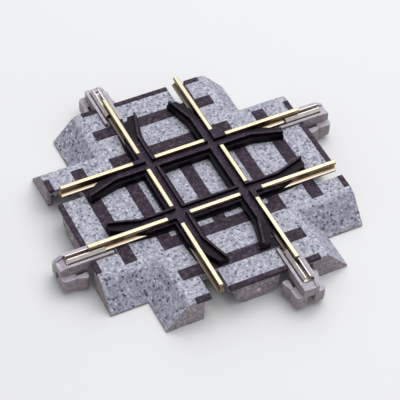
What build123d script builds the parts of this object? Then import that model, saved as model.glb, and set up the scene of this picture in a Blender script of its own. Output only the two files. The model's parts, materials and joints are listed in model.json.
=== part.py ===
from build123d import *
import os

# Model railway crossing: two straight tracks cross at a right angle on one ballasted roadbed.
# Millimetres, +Z up. X runs along track A, Y along track B. The origin is on the table, under the
# middle of the crossing. Every quarter of the object is the east arm (+X) turned about Z.

# --- driving dimensions ---------------------------------------------------------------------
rail_spacing = 9.75            # between the centre lines of one track's two rails
head_width = 0.6               # so the gauge, between the heads, is 9.15
rail_height = 1.4
rail_top_z = 5.0               # above the table
roadbed_length = 33.0          # both ways
roadbed_base_width = 23.5
deck_width = 17.8              # flat top between the shoulders
tie_length = 16.0
tie_width = 1.6
tie_pitch = 7.2                # from the middle tie to the next
outer_tie_at = 12.2
joiner_reach = 20.15           # front of a joiner, from the middle of the crossing

# --- heights --------------------------------------------------------------------------------
tie_top = rail_top_z - rail_height
ballast_top = tie_top - 0.1
tie_thickness = 0.4
deck_thickness = 1.05
deck_under = ballast_top - deck_thickness
rim_height = 0.3

# --- plan -----------------------------------------------------------------------------------
rail_y = rail_spacing / 2
end_x = roadbed_length / 2
wall = 1.0
end_wall = 0.5
shoulder_radius = 1.3

# --- rails ----------------------------------------------------------------------------------
head_half = head_width / 2
head_depth = 0.36
head_round = 0.08
web_half = 0.13
foot_half = 0.48
foot_edge = 0.2
foot_slope = 0.18
middle_rail_half = 3.3         # a middle rail's end, from the middle of the crossing
outer_rail_start = 6.15
joined_rail_end = 16.3
free_rail_ends = {"east": 16.1, "north": 16.3, "west": 15.6, "south": 16.4}
moulding_gap = 0.02            # between a metal rail and the plastic round it

# --- frog grid (distances from the rail's centre line, towards the track's middle) -----------
flange_floor = rail_top_z - 0.55
guard_top = rail_top_z - 0.1
guard_ledge = rail_top_z - 0.64
strip_top = rail_top_z - 0.58
guard_near = 1.16
guard_far = 1.44
ledge_far = 1.87
guard_straight_end = 9.0
guard_end = 12.8
guard_flare = 1.2              # sideways, over the flared length
ledge_tip_width = 0.18         # of the ledge beside the guard rail's flared tip
mouth_width = 0.8              # of the flangeway floor at the guard rail's flared tip
strip_half = 0.56
strip_full_end = 8.6
strip_tip = 10.8
toe_tip = 11.4
toe_half = 0.78
toe_height = 0.2
inset = 0.02                   # of the moulding under the rail heads' level
floor_full_end = 9.4

# --- pockets for rail ends and joiners ------------------------------------------------------
pocket_start = 13.1
pocket_half = 1.2
mouth_start = end_x - end_wall - 0.1
mouth_half = 2.1
mouth_top = 2.9
middle_block_half = 2.95
middle_block_foot = 1.6        # half width at the table, between the cut-off corners
middle_block_corner = 1.25     # height of a cut-off corner
middle_block_front = end_x - 0.25
middle_block_back = end_x - 1.5
end_tie_start = end_x - 0.65
end_tie_under = 3.1
lap = 0.2                      # by which a moulded-in block runs into the deck

# --- joiner (distances from the rail's centre line) -----------------------------------------
housing_half = 1.15
housing_start = 13.4
channel_half = 0.78
channel_floor = 3.36
housing_top = 3.82
housing_under = 2.95
nose_start = 19.25
nose_top = 3.42
nose_half = 0.97
nose_sink = 0.2
nose_sink_half = 0.6
body_start = 16.8
body_under = 2.1
foot_inner = 0.5
foot_under = 0.7
groove_depth = 0.2
groove_width = 0.25
groove_lead = 0.1              # sloping part above and below the groove
foot_start = body_start + 0.6
foot_corner = 0.3
clip_start = 14.3
clip_end = 19.05
clip_half = 0.68
lip_outer = 0.42
lip_inner = 0.2
lip_top = 4.3
sheet = 0.15
clip_rest = 0.02               # between the clip and the channel's floor
clip_side = 0.2                # of its sides, above the rail's foot edge
lip_rise = 0.1                 # of a lip's underside, above the sides
lip_round = 0.06
latch_inner = 1.47
latch_outer = 1.93
latch_barb = 2.28
latch_barb_start = 17.4
latch_barb_end = 17.12
latch_barb_round = 0.08
latch_lead = 0.4               # of the barb's sloping face
latch_corner = 0.1
latch_tip = 17.05
latch_root = 18.4
latch_top = 2.4
latch_under = 0.5
latch_gap = 0.03

# --- under the deck -------------------------------------------------------------------------
strip_thickness = 0.2
strip_width = 1.2
strip_end = 10.2
tab_at = (-9.6, 2.0, 9.6)
tab_length = 0.7
tab_width = 0.4
tab_clearance = 0.1
insulator_thickness = 0.3
insulator_half = 6.2
insulator_end = 10.9
cover_thickness = 0.6
cover_half = 9.0
cover_arm_half = 6.2
cover_arm_end = 11.3
boss_at = 7.6
boss_radius = 1.4
screw_radius = 0.6
screw_head_radius = 1.2
screw_head_height = 0.7
screw_tip_z = 3.0
screw_slot_depth = 0.3
screw_slot_width = 0.3
screw_clearance = 0.1

b_strip_z = deck_under - strip_thickness
insulator_z = b_strip_z - insulator_thickness
a_strip_z = insulator_z - strip_thickness
cover_z = a_strip_z - cover_thickness

# --- beyond the object, for cuts that go right through --------------------------------------
below = -1.0
above = rail_top_z + 1.0
outside = end_x + 1.0

ARMS = ("east", "north", "west", "south")


# --- helpers --------------------------------------------------------------------------------
def block(x0, x1, y0, y1, z0, z1):
    """A box between two corners."""
    return Pos((x0 + x1) / 2, (y0 + y1) / 2, (z0 + z1) / 2) * Box(x1 - x0, y1 - y0, z1 - z0)


def plan_prism(points, z0, z1):
    """An outline in plan, raised from z0 to z1."""
    outline = make_face(Polyline([(x, y, z0) for x, y in points], close=True))
    return extrude(outline, amount=z1 - z0, dir=(0, 0, 1))


def section_prism(points, x0, x1):
    """A cross-section given as (y, z) points, run along X."""
    outline = make_face(Polyline([(x0, y, z) for y, z in points], close=True))
    return extrude(outline, amount=x1 - x0, dir=(1, 0, 0))


def side_prism(points, y0, y1):
    """A side view given as (x, z) points, run along Y."""
    outline = make_face(Polyline([(x, y0, z) for x, z in points], close=True))
    return extrude(outline, amount=y1 - y0, dir=(0, 1, 0))


def both_sides(points):
    """Half a section on the +y side, completed by its mirror image."""
    return points + [(-y, z) for y, z in reversed(points)]


def turn(shape, quarter):
    """The shape turned by a number of quarter turns about the crossing's middle."""
    return Rot(0, 0, 90 * quarter) * shape


def all_round(shape):
    """The shape on all four arms."""
    return [turn(shape, quarter) for quarter in range(4)]


def joined(shapes):
    """Touching or overlapping shapes made into one."""
    result = shapes[0]
    for shape in shapes[1:]:
        result = result + shape
    return result


def save(name, shapes):
    """Writes one node: a single solid or a group of separate solids."""
    solids = [solid for shape in shapes for solid in shape.solids()]
    node = solids[0] if len(solids) == 1 else Compound(children=solids)
    export_step(node, f"parts/{name}.step")


# --- rails ----------------------------------------------------------------------------------
def rail_section(gap=0.0):
    """Half of a flat-bottomed rail's section, grown by a gap."""
    head_under = rail_top_z - head_depth
    return [
        (foot_half + gap, tie_top - gap),
        (foot_half + gap, tie_top + foot_edge + gap),
        (web_half + gap, tie_top + foot_edge + foot_slope + gap),
        (web_half + gap, head_under - head_round - gap),
        (head_half + gap, head_under - gap),
        (head_half + gap, rail_top_z - head_round),
        (head_half - head_round + gap, rail_top_z + gap),
    ]


def rail(x0, x1, gap=0.0):
    """A rail of the east-west track's north line."""
    return Pos(0, rail_y, 0) * section_prism(both_sides(rail_section(gap)), x0 - gap, x1 + gap)


# --- roadbed --------------------------------------------------------------------------------
def bank_outline(base_half, top_half, top_z):
    """A bank's section: a low upright rim, sloping shoulders and a flat top."""
    return both_sides([(base_half, 0), (base_half, rim_height), (top_half, top_z)])


def ballast_arm():
    """The east arm's ballast, with rounded shoulders, cut back to the mitres between the arms."""
    outline = bank_outline(roadbed_base_width / 2, deck_width / 2, ballast_top)
    section = make_face(Polyline([(y, z, 0) for y, z in outline], close=True))
    shoulders = section.vertices().group_by(Axis.Y)[-1]
    section = fillet(shoulders, shoulder_radius)
    bank = extrude(Plane.YZ * section, amount=end_x)
    sector = plan_prism([(0, 0), (outside, -outside), (outside, outside)], below, above)
    return bank & sector


def tie_beds():
    """Space for the ties in the top of the roadbed, on the east arm."""
    half = tie_length / 2
    under = tie_top - tie_thickness
    outer = block(outer_tie_at - tie_width / 2, outer_tie_at + tie_width / 2, -half, half, under, above)
    end = block(end_tie_start, outside, -half, half, end_tie_under, above)
    return [outer, end]


def pocket(y):
    """A rail end's pocket: a slot through the deck and a wider mouth under it."""
    slot = block(pocket_start, outside, y - pocket_half, y + pocket_half, below, above)
    mouth = block(mouth_start, outside, y - mouth_half, y + mouth_half, below, mouth_top)
    return [slot, mouth]


def middle_block():
    """The end wall between an arm's two pockets, set back, with its lower corners cut off."""
    half = middle_block_half
    section = [(middle_block_foot, 0), (half, middle_block_corner), (half, deck_under + lap)]
    return section_prism(both_sides(section), middle_block_back, middle_block_front)


def upright(x, y, radius, z0, z1):
    """A round column."""
    return Pos(x, y, z0) * Cylinder(radius, z1 - z0, align=(Align.CENTER, Align.CENTER, Align.MIN))


def make_roadbed_shell():
    hollow_outline = bank_outline(roadbed_base_width / 2 - wall, deck_width / 2 - wall, deck_under)
    hollow = section_prism(hollow_outline, end_wall - end_x, end_x - end_wall)
    shell = joined(all_round(ballast_arm())) - hollow - turn(hollow, 1)
    open_middle = block(mouth_start, outside, -rail_y, rail_y, below, deck_under)
    set_back = block(middle_block_front, outside, -rail_y, rail_y, below, end_tie_under)
    boss = upright(boss_at, boss_at, boss_radius, cover_z + cover_thickness, ballast_top - lap)
    bore = upright(boss_at, boss_at, screw_radius, cover_z, screw_tip_z)
    for quarter in range(4):
        shell = shell - turn(open_middle, quarter) - turn(set_back, quarter)
        shell = shell + turn(middle_block(), quarter)
        for cut in tie_beds() + pocket(rail_y) + pocket(-rail_y):
            shell = shell - turn(cut, quarter)
        for x in tab_at:
            shell = shell - turn(tab(x, tab_clearance, below), quarter)
        shell = shell + turn(boss, quarter) - turn(bore, quarter)
    return shell - tie_frame()


# --- ties -----------------------------------------------------------------------------------
def tie_at(x):
    """A tie across track A."""
    half_width, half = tie_width / 2, tie_length / 2
    return block(x - half_width, x + half_width, -half, half, tie_top - tie_thickness, tie_top)


def tie_frame():
    """The ties of the middle: one across track A's middle, and two across each track beside it."""
    across_a = [tie_at(x) for x in (-tie_pitch, 0, tie_pitch)]
    across_b = [turn(across_a[0], 1), turn(across_a[2], 1)]
    return joined(across_a + across_b)


def outer_tie():
    """The east arm's outer tie, under both rails."""
    return tie_at(outer_tie_at)


def end_tie():
    """The east arm's end tie, in three pieces, with the pockets between them."""
    half = tie_length / 2
    inner = rail_y - pocket_half
    outer = rail_y + pocket_half
    spans = [(-half, -outer), (-inner, inner), (outer, half)]
    return [block(end_tie_start, end_x, y0, y1, end_tie_under, tie_top) for y0, y1 in spans]


# --- frog and guard rail moulding -----------------------------------------------------------
def guard(side):
    """One guard rail end and its flangeway floor, east of the middle, beside the north line."""
    near, far, ledge = rail_y - guard_near, rail_y - guard_far, rail_y - ledge_far
    flare = guard_flare
    bar = [(0, near), (guard_straight_end, near), (guard_end, near - flare),
           (guard_end, far - flare), (guard_straight_end, far), (0, far)]
    step = [(0, far), (guard_straight_end, far), (guard_end, far - flare),
            (guard_end, far - flare - ledge_tip_width), (guard_straight_end, ledge), (0, ledge)]
    floor = [(0, rail_y), (floor_full_end, rail_y), (floor_full_end, rail_y - head_half),
             (strip_tip, rail_y - foot_half), (guard_end, near - flare + mouth_width),
             (guard_end, far - flare), (guard_straight_end, far), (0, far)]
    return [
        plan_prism(mirrored(bar, side), tie_top, guard_top),
        plan_prism(mirrored(step, side), tie_top, guard_ledge),
        plan_prism(mirrored(floor, side), tie_top, flange_floor),
    ]


def mirrored(points, side):
    """Plan points moved to the east (1) or west (-1) half."""
    return [(side * x, y) for x, y in points]


def carrier_strip(side):
    """The strip that holds the rail's outer side, and its low toe, both tapering to the arm's end."""
    strip_side, toe_side = rail_y + strip_half, rail_y + toe_half
    strip = [(0, rail_y), (strip_tip, rail_y), (strip_full_end, strip_side), (0, strip_side)]
    toe = [(0, rail_y), (toe_tip, rail_y), (toe_tip, rail_y + foot_half), (strip_full_end, toe_side),
           (0, toe_side)]
    return [
        plan_prism(mirrored(strip, side), tie_top, strip_top),
        plan_prism(mirrored(toe, side), tie_top, tie_top + toe_height),
    ]


def make_frog_grid():
    line = []
    for side in (1, -1):
        line += guard(side)
        line += carrier_strip(side)
        head = sorted((side * middle_rail_half, side * outer_rail_start))
        line.append(block(*head, rail_y - head_half, rail_y + head_half, tie_top, rail_top_z - inset))
    one_line = joined(line)
    grid = joined(all_round(one_line))
    flangeway = block(-guard_straight_end, guard_straight_end, rail_y - guard_near, rail_y - head_half,
                      flange_floor, above)
    rail_space = rail(-middle_rail_half, middle_rail_half, moulding_gap)
    rail_space += rail(outer_rail_start, end_x, moulding_gap)
    rail_space += rail(-end_x, -outer_rail_start, moulding_gap)
    for quarter in range(4):
        grid = grid - turn(flangeway, quarter) - turn(rail_space, quarter)
    return grid


# --- joiner, on the east arm's north rail ---------------------------------------------------
def housing_channel():
    outline = [(housing_half, housing_under), (housing_half, housing_top), (channel_half, housing_top),
               (channel_half, channel_floor)]
    return section_prism(both_sides(outline), housing_start, nose_start)


def housing_nose():
    """The solid end block, drawn in and sloping down to the front, with a shallow channel on top."""
    plan = [(nose_start, -housing_half), (joiner_reach, -nose_half), (joiner_reach, nose_half),
            (nose_start, housing_half)]
    side = [(nose_start, body_under), (joiner_reach, body_under), (joiner_reach, nose_top),
            (nose_start, housing_top)]
    sunk = [(nose_start, housing_top - nose_sink), (joiner_reach, nose_top - nose_sink),
            (joiner_reach, rail_top_z), (nose_start, rail_top_z)]
    end_block = plan_prism(plan, 0, rail_top_z) & side_prism(side, -housing_half, housing_half)
    return end_block - side_prism(sunk, -nose_sink_half, nose_sink_half)


def housing_body():
    """The lower body behind the nose, with a groove along each side and an arch between its feet."""
    groove_top = housing_under + groove_width
    section = [(housing_half, body_under), (housing_half, housing_under - groove_lead),
               (housing_half - groove_depth, housing_under), (housing_half - groove_depth, groove_top),
               (housing_half, groove_top + groove_lead), (housing_half, channel_floor)]
    plan = [(body_start, -housing_half), (nose_start, -housing_half), (joiner_reach, -nose_half),
            (joiner_reach, nose_half), (nose_start, housing_half), (body_start, housing_half)]
    return section_prism(both_sides(section), body_start, joiner_reach) & plan_prism(plan, 0, rail_top_z)


def latch_socket(side):
    """The round recess that a latch arm's root turns in."""
    middle = side * (latch_inner + latch_outer) / 2
    radius = (latch_outer - latch_inner) / 2 + latch_gap
    return Pos(latch_root, middle, 0) * Cylinder(radius, 2 * rail_top_z)


def housing_foot(side):
    """A foot under the nose, widened to carry the latch arm's root."""
    outline = [(latch_root, foot_inner), (joiner_reach, foot_inner),
               (joiner_reach, latch_outer - foot_corner), (joiner_reach - foot_corner, latch_outer),
               (latch_root, latch_outer),
               (latch_root, housing_half), (foot_start, housing_half), (foot_start, foot_inner)]
    foot = plan_prism([(x, side * y) for x, y in outline], foot_under, latch_top)
    return foot - latch_socket(side)


def make_joiner_housing():
    return joined([housing_channel(), housing_nose(), housing_body(), housing_foot(1), housing_foot(-1)])


def make_joiner_clip():
    """Folded sheet: a base under the rail's foot, two sides, and two rolled lips over the foot."""
    base_z = channel_floor + clip_rest
    side_top = tie_top + foot_edge + clip_side
    lip_under = side_top + lip_rise
    wrap = [(clip_half, base_z), (clip_half, side_top), (lip_outer, lip_top - lip_round),
            (lip_outer - lip_round, lip_top), (lip_inner + lip_round, lip_top),
            (lip_inner, lip_top - lip_round), (lip_inner, lip_under), (lip_outer - sheet / 2, lip_under),
            (clip_half - sheet, side_top - lip_rise), (clip_half - sheet, base_z + sheet)]
    return section_prism(both_sides(wrap), clip_start, clip_end)


def make_latch(side):
    """A latch arm, free at the roadbed's end, with an outward barb there."""
    middle = (latch_inner + latch_outer) / 2
    outline = [(latch_root, latch_inner), (latch_root, latch_outer), (latch_barb_start, latch_barb),
               (latch_barb_end, latch_barb - latch_barb_round), (latch_tip, latch_barb - latch_lead),
               (latch_tip, latch_inner + latch_corner), (latch_tip + latch_corner, latch_inner)]
    arm = plan_prism([(x, side * y) for x, y in outline], latch_under, latch_top)
    root = upright(latch_root, side * middle, (latch_outer - latch_inner) / 2, latch_under, latch_top)
    return arm + root


# --- under the deck -------------------------------------------------------------------------
def tab(x, gap, z0):
    """A jumper's tab, up to the underside of the rail above it."""
    half_length = tab_length / 2 + gap
    half_width = tab_width / 2 + gap
    return block(x - half_length, x + half_length, rail_y - half_width, rail_y + half_width, z0, tie_top)


def make_jumper(z):
    half = strip_width / 2
    strip = block(-strip_end, strip_end, rail_y - half, rail_y + half, z, z + strip_thickness)
    return joined([strip] + [tab(x, 0, z) for x in tab_at])


def plus_plate(half, arm_end, z, thickness):
    along = block(-arm_end, arm_end, -half, half, z, z + thickness)
    return along + turn(along, 1)


def make_insulator():
    sheet_plate = plus_plate(insulator_half, insulator_end, insulator_z, insulator_thickness)
    for quarter in (0, 2):
        for x in tab_at:
            sheet_plate = sheet_plate - turn(tab(x, tab_clearance, below), quarter)
    return sheet_plate


def make_bottom_cover():
    arms = plus_plate(cover_arm_half, cover_arm_end, cover_z, cover_thickness)
    middle = block(-cover_half, cover_half, -cover_half, cover_half, cover_z, cover_z + cover_thickness)
    plate = arms + middle
    hole = upright(boss_at, boss_at, screw_radius + screw_clearance, below, above)
    for quarter in range(4):
        plate = plate - turn(hole, quarter)
    return plate


def make_screw():
    """A cross-head screw, its head under the cover."""
    head_z = cover_z - screw_head_height
    shank = upright(0, 0, screw_radius, cover_z, screw_tip_z)
    head = upright(0, 0, screw_head_radius, head_z, cover_z)
    half = screw_slot_width / 2
    slot = block(-screw_head_radius, screw_head_radius, -half, half, below, head_z + screw_slot_depth)
    return Pos(boss_at, boss_at, 0) * (shank + head - slot - turn(slot, 1))


# --- nodes ----------------------------------------------------------------------------------
os.makedirs("parts", exist_ok=True)

save("roadbed_shell", [make_roadbed_shell()])
save("centre_tie_frame", [tie_frame()])
save("crossing_frog_grid", [make_frog_grid()])

for quarter, arm in enumerate(ARMS):
    save(f"outer_tie_{arm}", [turn(outer_tie(), quarter)])
    save(f"end_ties_{arm}", [turn(piece, quarter) for piece in end_tie()])

    # An arm's left-hand rail carries the joiner, and its right-hand rail stands free.
    joined_rail = rail(outer_rail_start, joined_rail_end)
    free_rail = Pos(0, -2 * rail_y, 0) * rail(outer_rail_start, free_rail_ends[arm])
    middle_rail = rail(-middle_rail_half, middle_rail_half)
    save(f"joined_rail_{arm}", [turn(joined_rail, quarter)])
    save(f"free_rail_{arm}", [turn(free_rail, quarter)])
    save(f"middle_rail_{arm}", [turn(middle_rail, quarter)])

    at_rail = Pos(0, rail_y, 0)
    save(f"joiner_housing_{arm}", [turn(at_rail * make_joiner_housing(), quarter)])
    save(f"joiner_clip_{arm}", [turn(at_rail * make_joiner_clip(), quarter)])
    save(f"joiner_latch_{arm}_left", [turn(at_rail * make_latch(1), quarter)])
    save(f"joiner_latch_{arm}_right", [turn(at_rail * make_latch(-1), quarter)])

    # Rail lines at y = +-rail_y are track A's: their jumpers lie under track B's.
    jumper_z = a_strip_z if quarter in (0, 2) else b_strip_z
    save(f"jumper_{arm}", [turn(make_jumper(jumper_z), quarter)])

save("jumper_insulator", [make_insulator()])
save("bottom_cover", [make_bottom_cover()])
save("cover_screws", all_round(make_screw()))
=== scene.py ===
import bmesh
import bpy
import json
import math
from mathutils import Matrix, Vector, noise


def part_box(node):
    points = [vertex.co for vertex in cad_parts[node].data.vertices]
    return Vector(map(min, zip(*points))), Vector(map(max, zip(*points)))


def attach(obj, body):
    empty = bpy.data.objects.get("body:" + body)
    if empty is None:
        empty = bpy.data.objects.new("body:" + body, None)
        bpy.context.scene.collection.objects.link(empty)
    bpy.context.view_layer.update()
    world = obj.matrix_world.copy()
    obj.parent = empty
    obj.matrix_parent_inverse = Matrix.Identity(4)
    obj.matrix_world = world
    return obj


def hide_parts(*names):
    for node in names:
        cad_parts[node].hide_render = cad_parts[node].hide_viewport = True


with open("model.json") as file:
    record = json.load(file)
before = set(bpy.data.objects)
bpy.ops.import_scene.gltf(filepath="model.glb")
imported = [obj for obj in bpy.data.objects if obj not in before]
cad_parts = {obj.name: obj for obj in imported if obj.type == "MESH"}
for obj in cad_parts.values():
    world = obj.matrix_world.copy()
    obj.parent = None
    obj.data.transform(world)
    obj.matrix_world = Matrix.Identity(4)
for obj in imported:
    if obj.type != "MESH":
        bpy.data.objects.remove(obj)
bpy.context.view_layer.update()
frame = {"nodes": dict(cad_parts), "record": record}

MM = 0.001
ARMS = ("east", "north", "west", "south")
scene = bpy.context.scene


# --- camera and light -----------------------------------------------------------------------
def direction(azimuth, elevation):
    """From the object towards a viewer. Azimuth 0 is seen along +Y; degrees."""
    a, e = math.radians(azimuth), math.radians(elevation)
    return Vector((math.sin(a) * math.cos(e), -math.cos(a) * math.cos(e), math.sin(e)))


def aimed(back, roll=0.0):
    """A rotation that looks along -back, with the horizon level but for the roll."""
    right = (-back).cross(Vector((0, 0, 1))).normalized()
    up = right.cross(-back)
    r = math.radians(roll)
    x = right * math.cos(r) + up * math.sin(r)
    y = up * math.cos(r) - right * math.sin(r)
    return Matrix((x, y, back)).transposed().to_4x4()


CAMERA_AZIMUTH, CAMERA_ELEVATION, CAMERA_ROLL = -27.40, 47.66, 1.95
CAMERA_DISTANCE = 206.64 * MM
CAMERA_TARGET = Vector((-1.452, -3.813, 5.0)) * MM
LENS, SENSOR_WIDTH = 158.21, 36.0
NEAREST, FURTHEST = 0.01, 10.0

camera_data = bpy.data.cameras.new("camera")
camera_data.sensor_width = SENSOR_WIDTH
camera_data.lens = LENS
camera_data.clip_start = NEAREST
camera_data.clip_end = FURTHEST
camera = bpy.data.objects.new("camera", camera_data)
scene.collection.objects.link(camera)
back = direction(CAMERA_AZIMUTH, CAMERA_ELEVATION)
camera.matrix_world = Matrix.Translation(CAMERA_TARGET + back * CAMERA_DISTANCE) @ aimed(back, CAMERA_ROLL)
scene.camera = camera

scene.view_settings.view_transform = "Standard"


def area_light(name, azimuth, elevation, distance, size, power, colour):
    """A soft square light aimed at the object's middle; metres, degrees and watts."""
    data = bpy.data.lights.new(name, "AREA")
    data.shape = "SQUARE"
    data.size = size
    data.energy = power
    data.color = colour
    lamp = bpy.data.objects.new(name, data)
    scene.collection.objects.link(lamp)
    towards = direction(azimuth, elevation)
    lamp.matrix_world = Matrix.Translation(towards * distance) @ aimed(towards)


area_light("key_light", azimuth=100, elevation=68, distance=0.5, size=0.5, power=1.35,
           colour=(1.0, 0.985, 0.96))
area_light("back_panel", azimuth=152, elevation=50, distance=0.55, size=0.6, power=1.12,
           colour=(1.0, 1.0, 1.0))

SKY_COLOUR, SKY_STRENGTH = (0.96, 0.98, 1.0, 1), 0.42
world = bpy.data.worlds.new("studio")
world.use_nodes = True
sky = world.node_tree.nodes["Background"]
sky.inputs["Color"].default_value = SKY_COLOUR
sky.inputs["Strength"].default_value = SKY_STRENGTH
scene.world = world


# --- materials ------------------------------------------------------------------------------
class Finish:
    """A procedural material. Its textures are measured in millimetres of the object's own space, times
    the stretch."""

    def __init__(self, name, stretch=(1, 1, 1), **sockets):
        self.material = bpy.data.materials.new(name)
        self.material.use_nodes = True
        self.tree = self.material.node_tree
        self.surface = self.tree.nodes["Principled BSDF"]
        for socket, value in sockets.items():
            self.surface.inputs[socket.replace("_", " ")].default_value = value
        coordinates = self.node("ShaderNodeTexCoord")
        mapping = self.node("ShaderNodeMapping")
        mapping.inputs["Scale"].default_value = [s / MM for s in stretch]
        self.link(coordinates.outputs["Object"], mapping.inputs["Vector"])
        self.place = mapping.outputs["Vector"]

    def node(self, kind, **settings):
        made = self.tree.nodes.new(kind)
        for key, value in settings.items():
            setattr(made, key, value)
        return made

    def link(self, source, target):
        self.tree.links.new(source, target)

    def noise(self, scale, detail, roughness=0.6):
        made = self.node("ShaderNodeTexNoise")
        self.link(self.place, made.inputs["Vector"])
        made.inputs["Scale"].default_value = scale
        made.inputs["Detail"].default_value = detail
        made.inputs["Roughness"].default_value = roughness
        return made.outputs["Fac"]

    def cells(self, scale, output="Distance"):
        made = self.node("ShaderNodeTexVoronoi")
        self.link(self.place, made.inputs["Vector"])
        made.inputs["Scale"].default_value = scale
        return made.outputs[output]

    def ramp(self, value, *stops):
        """Stops are (position, grey level or colour)."""
        made = self.node("ShaderNodeValToRGB")
        self.link(value, made.inputs["Fac"])
        elements = made.color_ramp.elements
        while len(elements) < len(stops):
            elements.new(0.5)
        for element, (position, colour) in zip(elements, stops):
            element.position = position
            shade = (colour,) * 3 if isinstance(colour, float) else colour
            element.color = (*shade, 1)
        return made.outputs["Color"]

    def fill(self, target, value):
        """Link a socket to a socket, or set it to a number or a colour."""
        if isinstance(value, bpy.types.NodeSocket):
            self.link(value, target)
        elif isinstance(value, tuple):
            target.default_value = (*value, 1)
        else:
            target.default_value = value

    def mix(self, factor, first, second, blend="MIX"):
        made = self.node("ShaderNodeMix", data_type="RGBA", blend_type=blend)
        self.fill([s for s in made.inputs if s.name == "Factor" and s.type == "VALUE"][0], factor)
        for name, value in (("A", first), ("B", second)):
            self.fill([s for s in made.inputs if s.name == name and s.type == "RGBA"][0], value)
        return [s for s in made.outputs if s.type == "RGBA"][0]

    def math(self, operation, *values):
        made = self.node("ShaderNodeMath", operation=operation)
        for target, value in zip(made.inputs, values):
            self.fill(target, value)
        return made.outputs["Value"]

    def bump(self, height, depth_mm):
        made = self.node("ShaderNodeBump")
        made.inputs["Strength"].default_value = 1.0
        made.inputs["Distance"].default_value = depth_mm * MM
        self.link(height, made.inputs["Height"])
        self.link(made.outputs["Normal"], self.surface.inputs["Normal"])

    def colour(self, source):
        self.link(source, self.surface.inputs["Base Color"])

    def roughness(self, source):
        self.link(source, self.surface.inputs["Roughness"])


def upward(f, start, full):
    """1 on faces that look up, 0 on upright ones."""
    apart = f.node("ShaderNodeSeparateXYZ")
    f.link(f.node("ShaderNodeNewGeometry").outputs["Normal"], apart.inputs["Vector"])
    return f.ramp(apart.outputs["Z"], (start, 0.0), (full, 1.0))


def along_axes(f):
    """The millimetre coordinates times the stretch, one by one."""
    apart = f.node("ShaderNodeSeparateXYZ")
    f.link(f.place, apart.inputs["Vector"])
    return apart.outputs


RAMP_SPAN = 10.0   # millimetres: a ramp runs from 0 to 1, so lengths are divided by this


def rising(f, length, start, full):
    """0 where a length is under start, 1 where it is over full, in millimetres."""
    part = f.math("MULTIPLY", length, 1 / RAMP_SPAN)
    return f.ramp(part, (start / RAMP_SPAN, 0.0), (full / RAMP_SPAN, 1.0))


def falling(f, length, start, none):
    """1 where a length is under start, 0 where it is over none, in millimetres."""
    part = f.math("MULTIPLY", length, 1 / RAMP_SPAN)
    return f.ramp(part, (start / RAMP_SPAN, 1.0), (none / RAMP_SPAN, 0.0))


def specks(f, scale, core, rim, patch_scale, patch_start, patch_end):
    """Round specks, full inside core and gone at rim. A patchy noise thins them out, from one
    (noise, strength) pair to the other."""
    dots = f.ramp(f.cells(scale), (core, 1.0), (rim, 0.0))
    return f.math("MULTIPLY", dots, f.ramp(f.noise(patch_scale, 2), patch_start, patch_end))


def ballast_finish():
    """Light blue-grey granite print on the upper faces, over brown-grey plastic that shows on the upright
    ones. The slopes are painted slightly darker, with darker specks, as painted shade."""
    f = Finish("ballast", Specular_IOR_Level=0.2)
    ground = f.ramp(f.noise(2.3, 6, 0.8), (0.36, (0.26, 0.26, 0.36)), (0.47, (0.52, 0.525, 0.63)),
                    (0.66, (0.72, 0.72, 0.8)))
    grains = f.ramp(f.cells(2.7, "Color"), (0.0, 0.64), (1.0, 1.18))
    ground = f.mix(1.0, ground, grains, "MULTIPLY")
    # Painted shade: faces that are not flat get the ground multiplied darker below, and darker specks.
    flat = upward(f, 0.72, 0.95)
    ground = f.mix(flat, f.mix(1.0, ground, (0.86, 0.85, 0.87), "MULTIPLY"), ground)
    large = specks(f, 1.9, core=0.22, rim=0.42, patch_scale=1.1,
                   patch_start=(0.42, 0.0), patch_end=(0.52, 0.95))
    fine = specks(f, 2.8, core=0.2, rim=0.38, patch_scale=1.7,
                  patch_start=(0.4, 0.0), patch_end=(0.5, 0.8))
    white = specks(f, 2.1, core=0.2, rim=0.34, patch_scale=1.4,
                   patch_start=(0.4, 0.85), patch_end=(0.5, 0.0))
    # The large specks are painted darker on the slopes than on the flat tops, as painted shade.
    speckled = f.mix(large, ground, f.mix(flat, (0.05, 0.05, 0.105), (0.14, 0.14, 0.23)))
    speckled = f.mix(fine, speckled, (0.16, 0.16, 0.27))
    speckled = f.mix(white, speckled, (0.9, 0.9, 0.94))
    bare = f.ramp(f.noise(2.6, 7, 0.8), (0.36, (0.16, 0.13, 0.142)), (0.5, (0.32, 0.275, 0.298)),
                  (0.64, (0.54, 0.5, 0.525)))
    printed = upward(f, 0.25, 0.45)
    f.colour(f.mix(printed, bare, speckled))
    f.roughness(f.ramp(f.noise(3.0, 3), (0.3, 0.6), (0.7, 0.82)))
    f.bump(f.noise(4.0, 5, 0.7), 0.06)
    return f.material


def tie_finish():
    """Dark brown plastic with a faint wood grain and paler scuffs."""
    f = Finish("tie_brown", Specular_IOR_Level=0.2)
    grain = f.noise(1.7, 8, 0.85)
    f.colour(f.ramp(grain, (0.38, (0.01, 0.005, 0.012)), (0.5, (0.042, 0.026, 0.046)),
                    (0.62, (0.13, 0.095, 0.135))))
    f.roughness(f.ramp(grain, (0.3, 0.55), (0.7, 0.75)))
    f.bump(f.noise(5.0, 5, 0.7), 0.03)
    return f.material


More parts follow.
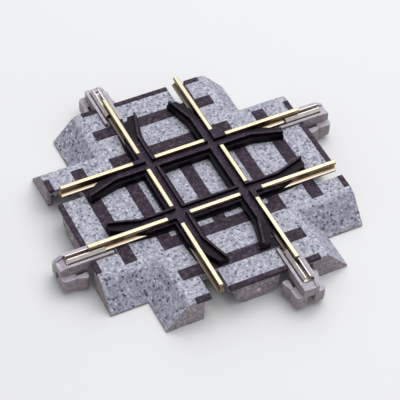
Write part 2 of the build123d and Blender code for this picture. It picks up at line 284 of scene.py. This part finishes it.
def frog_finish():
    """Black plastic with painted light: the tops and the flangeway floor near the frogs are painted paler,
    as lit faces, and the upright faces and the floor further out near black, as painted shade.
    """
    # Painted light: out to the first reach the flangeway floor is painted lit, and by the second it has
    # faded to painted shade.
    lit_floor_reach, floor_shade_reach = 8.0, 9.8          # along the track, from the middle
    floor_start, floor_full = 4.38, 4.41      # heights: the flangeway floor is above these
    top_start, top_full = 4.6, 4.8            # and the guard rails' tops above these
    lit_other_tops = 0.18                         # painted light on the other upper faces
    f = Finish("frog_black", Specular_IOR_Level=0.12)
    cloud = f.noise(1.8, 7, 0.78)
    lit_black = f.ramp(cloud, (0.36, (0.02, 0.012, 0.024)), (0.52, (0.046, 0.03, 0.053)),
                    (0.66, (0.1, 0.074, 0.108)))
    shaded_black = f.ramp(cloud, (0.36, (0.0015, 0.0008, 0.0015)), (0.68, (0.006, 0.004, 0.008)))
    x, y, z = along_axes(f)
    reach = f.math("MAXIMUM", f.math("ABSOLUTE", x), f.math("ABSOLUTE", y))
    lit_inner_floor = f.math("MULTIPLY", falling(f, reach, lit_floor_reach, floor_shade_reach),
                         rising(f, z, floor_start, floor_full))
    # Painted light on the lit faces, painted shade on the rest.
    lit_faces = f.math("MAXIMUM", rising(f, z, top_start, top_full), lit_inner_floor)
    painted_light = f.math("ADD", f.math("MULTIPLY", lit_faces, 1 - lit_other_tops), lit_other_tops)
    f.colour(f.mix(f.math("MULTIPLY", upward(f, 0.5, 0.9), painted_light), shaded_black, lit_black))
    f.roughness(f.ramp(cloud, (0.35, 0.36), (0.65, 0.52)))
    f.bump(f.noise(4.0, 4, 0.6), 0.015)
    return f.material


def rail_finish(name, along, painted_foot_highlight, painted_web_light):
    """Drawn rail: a bright head polished by the wheels, a brown web and foot, and fine lines along it all.
    The brown is partly painted shade, and it also covers the head's bevelled edges to narrow its
    highlight; a pale painted highlight runs along the foot's outer edge. The two numbers say how much of
    that highlight shows and scale the brown, as painted light that differs between rails along x and along
    y."""
    lengthwise, crosswise = 0.12, 6.0
    head_start, head_full = 4.68, 4.72        # heights: the head is above these
    edge_start, edge_end = 3.86, 3.9          # and the foot's outer edge below these
    stretch = (lengthwise, crosswise, crosswise) if along == "x" else (crosswise, lengthwise, crosswise)
    f = Finish(name, stretch, Metallic=1.0)
    lines = f.noise(2.0, 5, 0.6)
    bright = f.ramp(lines, (0.3, (0.62, 0.55, 0.375)), (0.7, (0.71, 0.66, 0.5)))
    brown = f.ramp(lines, (0.3, (0.26, 0.17, 0.1)), (0.7, (0.48, 0.36, 0.24)))
    brown = f.mix(1.0, brown, (painted_web_light,) * 3, "MULTIPLY")
    z = f.math("MULTIPLY", along_axes(f)[2], 1 / crosswise)
    # Painted light: only the head's top takes the bright colour, its bevelled edges take the brown as
    # painted shade, and the foot's outer edge gets a pale painted highlight.
    head = f.math("MULTIPLY", rising(f, z, head_start, head_full), upward(f, 0.86, 0.995))
    edge = f.math("MULTIPLY", falling(f, z, edge_start, edge_end), upward(f, 0.7, 0.85))
    edge = f.math("MULTIPLY", edge, f.ramp(lines, (0.42, painted_foot_highlight), (0.6, painted_foot_highlight + 0.25)))
    f.colour(f.mix(edge, f.mix(head, brown, bright), (0.72, 0.68, 0.62)))
    f.roughness(f.ramp(lines, (0.3, 0.24), (0.7, 0.36)))
    f.bump(lines, 0.002)
    return f.material


def joiner_finish():
    """Satin light grey plastic with faint flow marks. Its sides are painted darker and warmer than its
    upper faces, as painted shade.
    """
    f = Finish("joiner_grey", Specular_IOR_Level=0.4)
    flow = f.noise(1.6, 7, 0.72)
    # Painted light: a lit colour for upward faces, and a darker, warmer painted shade for the sides.
    top = f.ramp(flow, (0.36, (0.41, 0.375, 0.44)), (0.64, (0.62, 0.58, 0.66)))
    side = f.ramp(flow, (0.36, (0.2, 0.155, 0.17)), (0.64, (0.38, 0.32, 0.34)))
    f.colour(f.mix(upward(f, 0.3, 0.8), side, top))
    f.roughness(f.ramp(flow, (0.3, 0.34), (0.7, 0.5)))
    f.bump(f.noise(5.0, 4, 0.6), 0.012)
    return f.material


def clip_finish():
    """Sheet metal: the rolled lips are painted bright as a painted highlight, and the folded sides are
    painted brown as painted shade and dark reflections.
    """
    f = Finish("clip_sheet", Metallic=0.72)
    lines = f.noise(2.0, 6, 0.65)
    lips = f.ramp(lines, (0.3, (0.9, 0.86, 0.86)), (0.7, (0.98, 0.95, 0.95)))
    folds = f.ramp(lines, (0.3, (0.3, 0.21, 0.18)), (0.7, (0.62, 0.5, 0.45)))
    # Painted light: a bright colour on the upward lips, and brown painted shade on the upright folds.
    f.colour(f.mix(upward(f, 0.55, 0.9), folds, lips))
    f.roughness(f.ramp(lines, (0.3, 0.42), (0.7, 0.56)))
    f.bump(lines, 0.001)
    return f.material


def metal_finish(name, first, second, rough, stretch):
    """Sheet or turned metal with fine scratches."""
    f = Finish(name, stretch, Metallic=1.0)
    lines = f.noise(2.0, 6, 0.65)
    f.colour(f.ramp(lines, (0.3, first), (0.7, second)))
    f.roughness(f.ramp(lines, (0.3, rough - 0.05), (0.7, rough + 0.1)))
    f.bump(lines, 0.001)
    return f.material


def plain_plastic(name, dark, light, rough):
    """Matte sheet or moulded plastic with a mottled grain."""
    f = Finish(name, Specular_IOR_Level=0.35)
    grain = f.noise(2.2, 7, 0.7)
    f.colour(f.ramp(grain, (0.3, dark), (0.7, light)))
    f.roughness(f.ramp(grain, (0.3, rough - 0.1), (0.7, rough + 0.1)))
    f.bump(f.noise(5.0, 4, 0.65), 0.02)
    return f.material


# Painted light: the rails along x get a brighter foot edge and web, and those along y more painted shade,
# for the way each faces the light.
rail_along_x = rail_finish("rail_along_x", "x", painted_foot_highlight=0.85, painted_web_light=1.1)
rail_along_y = rail_finish("rail_along_y", "y", painted_foot_highlight=0.35, painted_web_light=0.65)
FINISHES = {
    "ballast_plastic": ballast_finish(),
    "tie_plastic": tie_finish(),
    "frog_plastic": frog_finish(),
    "joiner_plastic": joiner_finish(),
    "clip_metal": clip_finish(),
    "jumper_metal": metal_finish("jumper_bronze", (0.6, 0.42, 0.22), (0.72, 0.53, 0.3), rough=0.32,
                                 stretch=(1, 1, 4)),
    "insulator_sheet": plain_plastic("fibre_sheet", (0.24, 0.13, 0.06), (0.34, 0.2, 0.1), rough=0.7),
    "cover_plastic": plain_plastic("cover_dark", (0.025, 0.025, 0.03), (0.045, 0.045, 0.052), rough=0.55),
    "screw_steel": metal_finish("screw_steel", (0.42, 0.42, 0.44), (0.58, 0.58, 0.6), rough=0.3,
                                stretch=(3, 3, 1)),
}


def finish_for(node, slot):
    """A slot's finish. The rails have two, because their fine lines run along them and because each
    direction gets its own painted light.
    """
    if slot == "rail_metal":
        return rail_along_x if node.endswith(("east", "west")) else rail_along_y
    return FINISHES[slot]


def dress(obj, material):
    """Give a new piece one material all over."""
    obj.data.materials.clear()
    obj.data.materials.append(material)
    for polygon in obj.data.polygons:
        polygon.material_index = 0


# Millimetres, by slot. The frog grid's steps are too small for one, and the roadbed has its relief.
BEVELS = {"tie_plastic": 0.07, "rail_metal": 0.06, "joiner_plastic": 0.06, "clip_metal": 0.03,
          "jumper_metal": 0.03, "insulator_sheet": 0.03, "cover_plastic": 0.06, "screw_steel": 0.08}
SAME_PLACE = 1e-7             # metres: corners closer than this are one
SHARP_EDGE = math.radians(40)


def round_edges(obj, width):
    """Join the faces at their shared corners, then bevel the sharp edges."""
    weld = obj.modifiers.new("joined_faces", "WELD")
    weld.merge_threshold = SAME_PLACE
    bevel = obj.modifiers.new("edges", "BEVEL")
    bevel.width = width
    bevel.segments = 2
    bevel.limit_method = "ANGLE"
    bevel.angle_limit = SHARP_EDGE
    bevel.harden_normals = True


for part in frame["record"]["subparts"]:
    node, slot = part["node"], part["material_slot"]
    obj = frame["nodes"][node]
    for place in obj.material_slots:
        place.link = "OBJECT"
        place.material = finish_for(node, slot)
    if slot in BEVELS:
        round_edges(obj, BEVELS[slot] * MM)


# --- ballast relief -------------------------------------------------------------------------
RELIEF_STEP = 0.2 * MM        # between the cuts that divide the upper faces
RELIEF_HEIGHT = 0.055 * MM
GRAIN = 0.42 * MM
DOME, DOME_EDGE = 0.75, 2.2   # a grain's height, and how steeply it rises from the crease round it
UNEVENNESS = 0.5              # of the grains' levels
SINK = 0.35                   # lowers the whole relief to about the roadbed's own surface
LEVEL_SPREAD = 3.7            # takes neighbouring grains to places far apart in the level noise

FLAT = 0.99                   # upward parts of a face's normal
SLOPED = 0.3
TIE_BED = 3.45 * MM           # the flat deck is above this and the ties' beds are below


def is_ballast_face(face):
    """The flat deck, the slopes and the rounded shoulders, but not the beds under the ties."""
    if face.normal.z > FLAT:
        return face.calc_center_median().z > TIE_BED
    return face.normal.z > SLOPED


def grain_height(point):
    """Rounded grains with creases between them, each grain at its own level."""
    distances, centres = noise.voronoi(point / GRAIN)
    level = noise.noise(centres[0] * LEVEL_SPREAD)
    from_crease = distances[1] - distances[0]
    return min(1.0, from_crease * DOME_EDGE) * DOME + level * UNEVENNESS - SINK


def cut_upper_faces(shape, upper):
    """Divide the upper faces on a square grid."""
    low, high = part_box("roadbed_shell")
    for axis, normal in enumerate((Vector((1, 0, 0)), Vector((0, 1, 0)))):
        count = int((high[axis] - low[axis]) / RELIEF_STEP)
        for k in range(1, count):
            faces = [face for face in shape.faces if face[upper]]
            edges = {edge for face in faces for edge in face.edges}
            verts = {vert for face in faces for vert in face.verts}
            bmesh.ops.bisect_plane(shape, geom=faces + list(edges) + list(verts), dist=SAME_PLACE,
                                   plane_co=normal * (low[axis] + k * RELIEF_STEP), plane_no=normal)


def raise_grains(shape, upper):
    """Move the corners inside the upper faces. Those on the borders stay where they are."""
    shape.normal_update()
    moves = []
    for vert in shape.verts:
        if vert.link_faces and all(face[upper] for face in vert.link_faces):
            moves.append((vert, vert.normal * grain_height(vert.co) * RELIEF_HEIGHT))
    for vert, move in moves:
        vert.co += move


def make_ballast():
    """The roadbed with a moulded granular relief on its upper faces."""
    source = frame["nodes"]["roadbed_shell"]
    mesh = bpy.data.meshes.new_from_object(source.evaluated_get(bpy.context.evaluated_depsgraph_get()))
    shape = bmesh.new()
    shape.from_mesh(mesh)
    bmesh.ops.remove_doubles(shape, verts=shape.verts, dist=SAME_PLACE)
    upper = shape.faces.layers.int.new("upper")
    for face in shape.faces:
        face[upper] = is_ballast_face(face)
        face.smooth = False
    cut_upper_faces(shape, upper)
    raise_grains(shape, upper)
    for face in shape.faces:
        face.smooth = bool(face[upper])
    for edge in shape.edges:
        if len({face[upper] for face in edge.link_faces}) > 1:
            edge.smooth = False
    bmesh.ops.triangulate(shape, faces=[face for face in shape.faces if len(face.verts) > 4])
    shape.to_mesh(mesh)
    shape.free()
    ballast = bpy.data.objects.new("ballast_relief", mesh)
    scene.collection.objects.link(ballast)
    dress(ballast, FINISHES["ballast_plastic"])
    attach(ballast, "crossing")
    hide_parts("roadbed_shell")


make_ballast()


# --- floor ----------------------------------------------------------------------------------
FLOOR_HALF = 1.2              # metres
FIBRE_STRETCH = (0.01,) * 3   # so its mottling is about 100 mm wide


def make_floor():
    """A large sheet of pale paper."""
    mesh = bpy.data.meshes.new("floor")
    corners = [(x * FLOOR_HALF, y * FLOOR_HALF, 0) for x, y in ((-1, -1), (1, -1), (1, 1), (-1, 1))]
    mesh.from_pydata(corners, [], [(0, 1, 2, 3)])
    floor = bpy.data.objects.new("floor", mesh)
    scene.collection.objects.link(floor)
    f = Finish("floor_paper", FIBRE_STRETCH, Roughness=0.9, Specular_IOR_Level=0.2)
    f.colour(f.ramp(f.noise(1.0, 3), (0.3, (0.86, 0.865, 0.885)), (0.7, (0.885, 0.89, 0.905))))
    mesh.materials.append(f.material)


make_floor()


# --- gate marks -----------------------------------------------------------------------------
# Radius and height in millimetres, from the foot to the middle: a low dome with a dent round its tip.
GATE_PROFILE = [(0.27, 0.0), (0.26, 0.05), (0.21, 0.09), (0.12, 0.07), (0.06, 0.1)]
GATE_SIDES = 20
BLOCK_SETBACK = 0.25 * MM     # of an end block's front from the roadbed's end
GATE_SINK = 0.01 * MM         # into that front
GATE_ASIDE = 0.1 * MM         # from the block's middle
GATE_HEIGHT = 1.4 * MM        # above the table


def make_gate_mark():
    """The small domed stub that the mould's inlet leaves on the front of an end block."""
    shape = bmesh.new()
    rings = []
    angles = [2 * math.pi * k / GATE_SIDES for k in range(GATE_SIDES)]
    for radius, height in GATE_PROFILE:
        rings.append([shape.verts.new(Vector((height, radius * math.cos(a), radius * math.sin(a))) * MM)
                      for a in angles])
    for outer, inner in zip(rings, rings[1:]):
        for k in range(GATE_SIDES):
            after = (k + 1) % GATE_SIDES
            shape.faces.new((outer[k], outer[after], inner[after], inner[k]))
    shape.faces.new(rings[-1])
    shape.faces.new(reversed(rings[0]))
    bmesh.ops.recalc_face_normals(shape, faces=shape.faces)
    for face in shape.faces:
        face.smooth = True
    mesh = bpy.data.meshes.new("gate_mark")
    shape.to_mesh(mesh)
    shape.free()
    return mesh


def place_gate_marks():
    """One on each end block, from the east arm by quarter turns."""
    pale = plain_plastic("gate_mark_pale", (0.62, 0.48, 0.5), (0.86, 0.72, 0.74), rough=0.5)
    block_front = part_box("roadbed_shell")[1].x - BLOCK_SETBACK
    at_block = Matrix.Translation((block_front - GATE_SINK, GATE_ASIDE, GATE_HEIGHT))
    for quarter, arm in enumerate(ARMS):
        mark = bpy.data.objects.new(f"gate_mark_{arm}", make_gate_mark())
        scene.collection.objects.link(mark)
        mark.matrix_world = Matrix.Rotation(math.radians(90 * quarter), 4, "Z") @ at_block
        dress(mark, pale)
        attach(mark, "crossing")


place_gate_marks()
